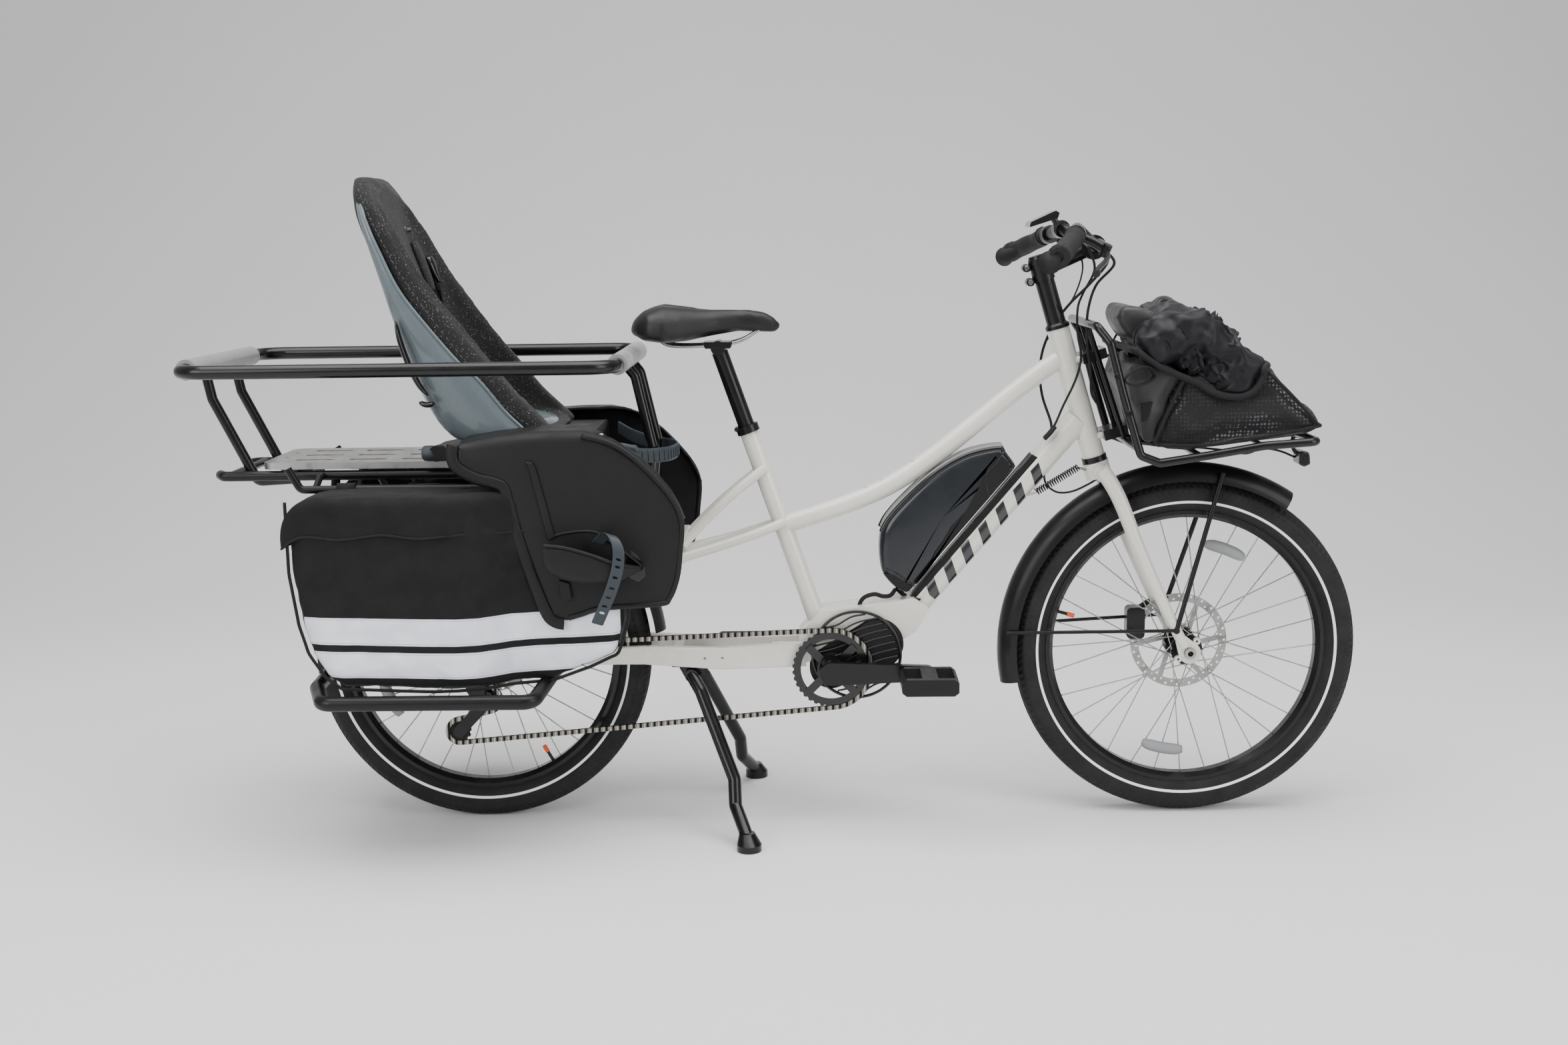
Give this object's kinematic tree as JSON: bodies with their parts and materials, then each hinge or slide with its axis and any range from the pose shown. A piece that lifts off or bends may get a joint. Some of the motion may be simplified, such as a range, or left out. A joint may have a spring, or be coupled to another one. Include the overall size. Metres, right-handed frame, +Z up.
{
  "type": "long-tail cargo bicycle",
  "caption": "Long-tail electric cargo bicycle with a child seat, guard rails, side bags, a front carrier with a bag, and a two-leg stand.",
  "frame": {"origin": "on the floor, below the middle of the overall length, in the bicycle's middle plane", "axes": "+X forward, +Y to the rider's left (the drive side faces -Y), +Z up"},
  "size_m": [2.0919, 0.6804, 1.198],
  "materials": {
    "main_frame": "warm white gloss paint",
    "headset_cups": "black anodised",
    "seat_clamp": "black anodised",
    "drive_unit": "satin black, ribbed cover",
    "battery_cradle": "black",
    "rear_rack": "satin black tube",
    "deck": "satin black plate",
    "running_boards": "satin black tube",
    "guard_rails": "gloss black tube",
    "rail_sleeves": "grey foam sleeve",
    "rail_posts": "satin black tube",
    "rear_fender": "satin black",
    "front_rack": "satin black tube",
    "front_bag": "black coated cloth and mesh",
    "bag_right": "black woven cloth with reflective bands",
    "bag_left": "black woven cloth with reflective bands",
    "child_seat_base": "matt black",
    "child_seat_shell": "grey-blue gloss",
    "child_seat_cushion": "black speckled foam",
    "stand_bracket": "black",
    "chain": "plated steel",
    "derailleur": "dark grey",
    "rear_axle": "steel",
    "rear_caliper": "black",
    "fork": "warm white gloss paint",
    "stem": "black",
    "handlebar": "black",
    "grips": "black rubber",
    "lever_bodies": "black",
    "display": "black",
    "front_fender": "satin black",
    "fender_stays": "black wire",
    "front_caliper": "black",
    "front_axle": "steel",
    "front_tyre": "black with a pale reflective ring",
    "front_rim": "black",
    "front_spokes": "steel wire",
    "front_hub": "black",
    "front_rotor": "ground steel",
    "rear_tyre": "black with a pale reflective ring",
    "rear_rim": "black",
    "rear_spokes": "steel wire",
    "rear_hub": "black",
    "rear_rotor": "ground steel",
    "cassette": "plated steel",
    "crank_arms": "black",
    "chainring": "black",
    "pedal_right": "black",
    "pedal_left": "black",
    "brake_lever_right": "black",
    "brake_lever_left": "black",
    "seatpost": "black",
    "saddle": "black padded cover",
    "stand_legs": "satin black tube with rubber feet",
    "battery": "dark slate",
    "guide_pulley": "black",
    "tension_pulley": "black",
    "footrest_right": "black",
    "footrest_left": "black",
    "child_seat_lock": "black knob"
  },
  "bodies": {
    "frame": {"main_frame": "main_frame", "headset_cups": "headset_cups", "seat_clamp": "seat_clamp", "drive_unit": "drive_unit", "battery_cradle": "battery_cradle", "rear_rack": "rear_rack", "deck": "deck", "running_boards": "running_boards", "guard_rails": "guard_rails", "rail_sleeves": "rail_sleeves", "rail_posts": "rail_posts", "rear_fender": "rear_fender", "front_rack": "front_rack", "front_bag": "front_bag", "bag_right": "bag_right", "bag_left": "bag_left", "child_seat_base": "child_seat_base", "child_seat_shell": "child_seat_shell", "child_seat_cushion": "child_seat_cushion", "stand_bracket": "stand_bracket", "chain": "chain", "derailleur": "derailleur", "rear_axle": "rear_axle", "rear_caliper": "rear_caliper"},
    "steering": {"fork": "fork", "stem": "stem", "handlebar": "handlebar", "grips": "grips", "lever_bodies": "lever_bodies", "display": "display", "front_fender": "front_fender", "fender_stays": "fender_stays", "front_caliper": "front_caliper", "front_axle": "front_axle"},
    "front_wheel": {"front_tyre": "front_tyre", "front_rim": "front_rim", "front_spokes": "front_spokes", "front_hub": "front_hub", "front_rotor": "front_rotor"},
    "rear_wheel": {"rear_tyre": "rear_tyre", "rear_rim": "rear_rim", "rear_spokes": "rear_spokes", "rear_hub": "rear_hub", "rear_rotor": "rear_rotor"},
    "cassette_set": {"cassette": "cassette"},
    "crank": {"crank_arms": "crank_arms", "chainring": "chainring"},
    "right_pedal": {"pedal_right": "pedal_right"},
    "left_pedal": {"pedal_left": "pedal_left"},
    "right_lever": {"brake_lever_right": "brake_lever_right"},
    "left_lever": {"brake_lever_left": "brake_lever_left"},
    "seat": {"seatpost": "seatpost", "saddle": "saddle"},
    "stand": {"stand_legs": "stand_legs"},
    "battery_pack": {"battery": "battery"},
    "upper_pulley": {"guide_pulley": "guide_pulley"},
    "lower_pulley": {"tension_pulley": "tension_pulley"},
    "right_footrest": {"footrest_right": "footrest_right"},
    "left_footrest": {"footrest_left": "footrest_left"},
    "seat_lock": {"child_seat_lock": "child_seat_lock"}
  },
  "joints": [
    {"name": "steering_turn", "type": "hinge", "parent": "frame", "child": "steering", "pos_m": [0.562, 0, 0.67], "axis": [-0.279, 0, 0.9603], "range_deg": [-40, 40]},
    {"name": "front_wheel_spin", "type": "hinge", "parent": "steering", "child": "front_wheel", "pos_m": [0.7325, 0, 0.3135], "axis": [0, 1, 0], "continuous": true},
    {"name": "rear_wheel_spin", "type": "hinge", "parent": "frame", "child": "rear_wheel", "pos_m": [-0.5675, 0, 0.3135], "axis": [0, 1, 0], "continuous": true},
    {"name": "crank_spin", "type": "hinge", "parent": "frame", "child": "crank", "pos_m": [0.08, 0, 0.288], "axis": [0, 1, 0], "continuous": true},
    {"name": "cassette_spin", "type": "hinge", "parent": "frame", "child": "cassette_set", "pos_m": [-0.5675, 0, 0.3135], "axis": [0, 1, 0], "continuous": true},
    {"name": "upper_pulley_spin", "type": "hinge", "parent": "frame", "child": "upper_pulley", "pos_m": [-0.553, -0.052, 0.236], "axis": [0, 1, 0], "continuous": true},
    {"name": "lower_pulley_spin", "type": "hinge", "parent": "frame", "child": "lower_pulley", "pos_m": [-0.609, -0.052, 0.177], "axis": [0, 1, 0], "continuous": true},
    {"name": "right_pedal_spin", "type": "hinge", "parent": "crank", "child": "right_pedal", "pos_m": [0.2525, -0.15, 0.288], "axis": [0, 1, 0], "continuous": true},
    {"name": "left_pedal_spin", "type": "hinge", "parent": "crank", "child": "left_pedal", "pos_m": [-0.0925, 0.15, 0.288], "axis": [0, 1, 0], "continuous": true},
    {"name": "right_brake_pull", "type": "hinge", "parent": "steering", "child": "right_lever", "pos_m": [0.546, -0.192, 1.042], "axis": [-0.3498, 0.3169, -0.8816], "range_deg": [0, 16]},
    {"name": "left_brake_pull", "type": "hinge", "parent": "steering", "child": "left_lever", "pos_m": [0.546, 0.192, 1.042], "axis": [0.3498, 0.3169, 0.8816], "range_deg": [0, 16]},
    {"name": "seat_height", "type": "slide", "parent": "frame", "child": "seat", "axis": [-0.3256, 0, 0.9455], "range_m": [-0.03, 0.09]},
    {"name": "stand_fold", "type": "hinge", "parent": "frame", "child": "stand", "pos_m": [-0.178, 0, 0.2767], "axis": [0, 1, 0], "range_deg": [0, 88]},
    {"name": "battery_release", "type": "hinge", "parent": "frame", "child": "battery_pack", "pos_m": [0.214, 0, 0.416], "axis": [-0.7638, 0, 0.6455], "range_deg": [0, 16]},
    {"name": "right_footrest_height", "type": "slide", "parent": "frame", "child": "right_footrest", "axis": [0, 0, 1], "range_m": [-0.03, 0.05]},
    {"name": "left_footrest_height", "type": "slide", "parent": "frame", "child": "left_footrest", "axis": [0, 0, 1], "range_m": [-0.03, 0.05]},
    {"name": "seat_lock_turn", "type": "hinge", "parent": "frame", "child": "seat_lock", "pos_m": [-0.613, -0.112, 0.703], "axis": [0, 1, 0], "range_deg": [0, 70]}
  ],
  "couplings": [
    {"joint": "cassette_spin", "follows": "crank_spin", "ratio": 3.2727},
    {"joint": "upper_pulley_spin", "follows": "crank_spin", "ratio": -3.2727},
    {"joint": "lower_pulley_spin", "follows": "crank_spin", "ratio": 3.2727}
  ]
}
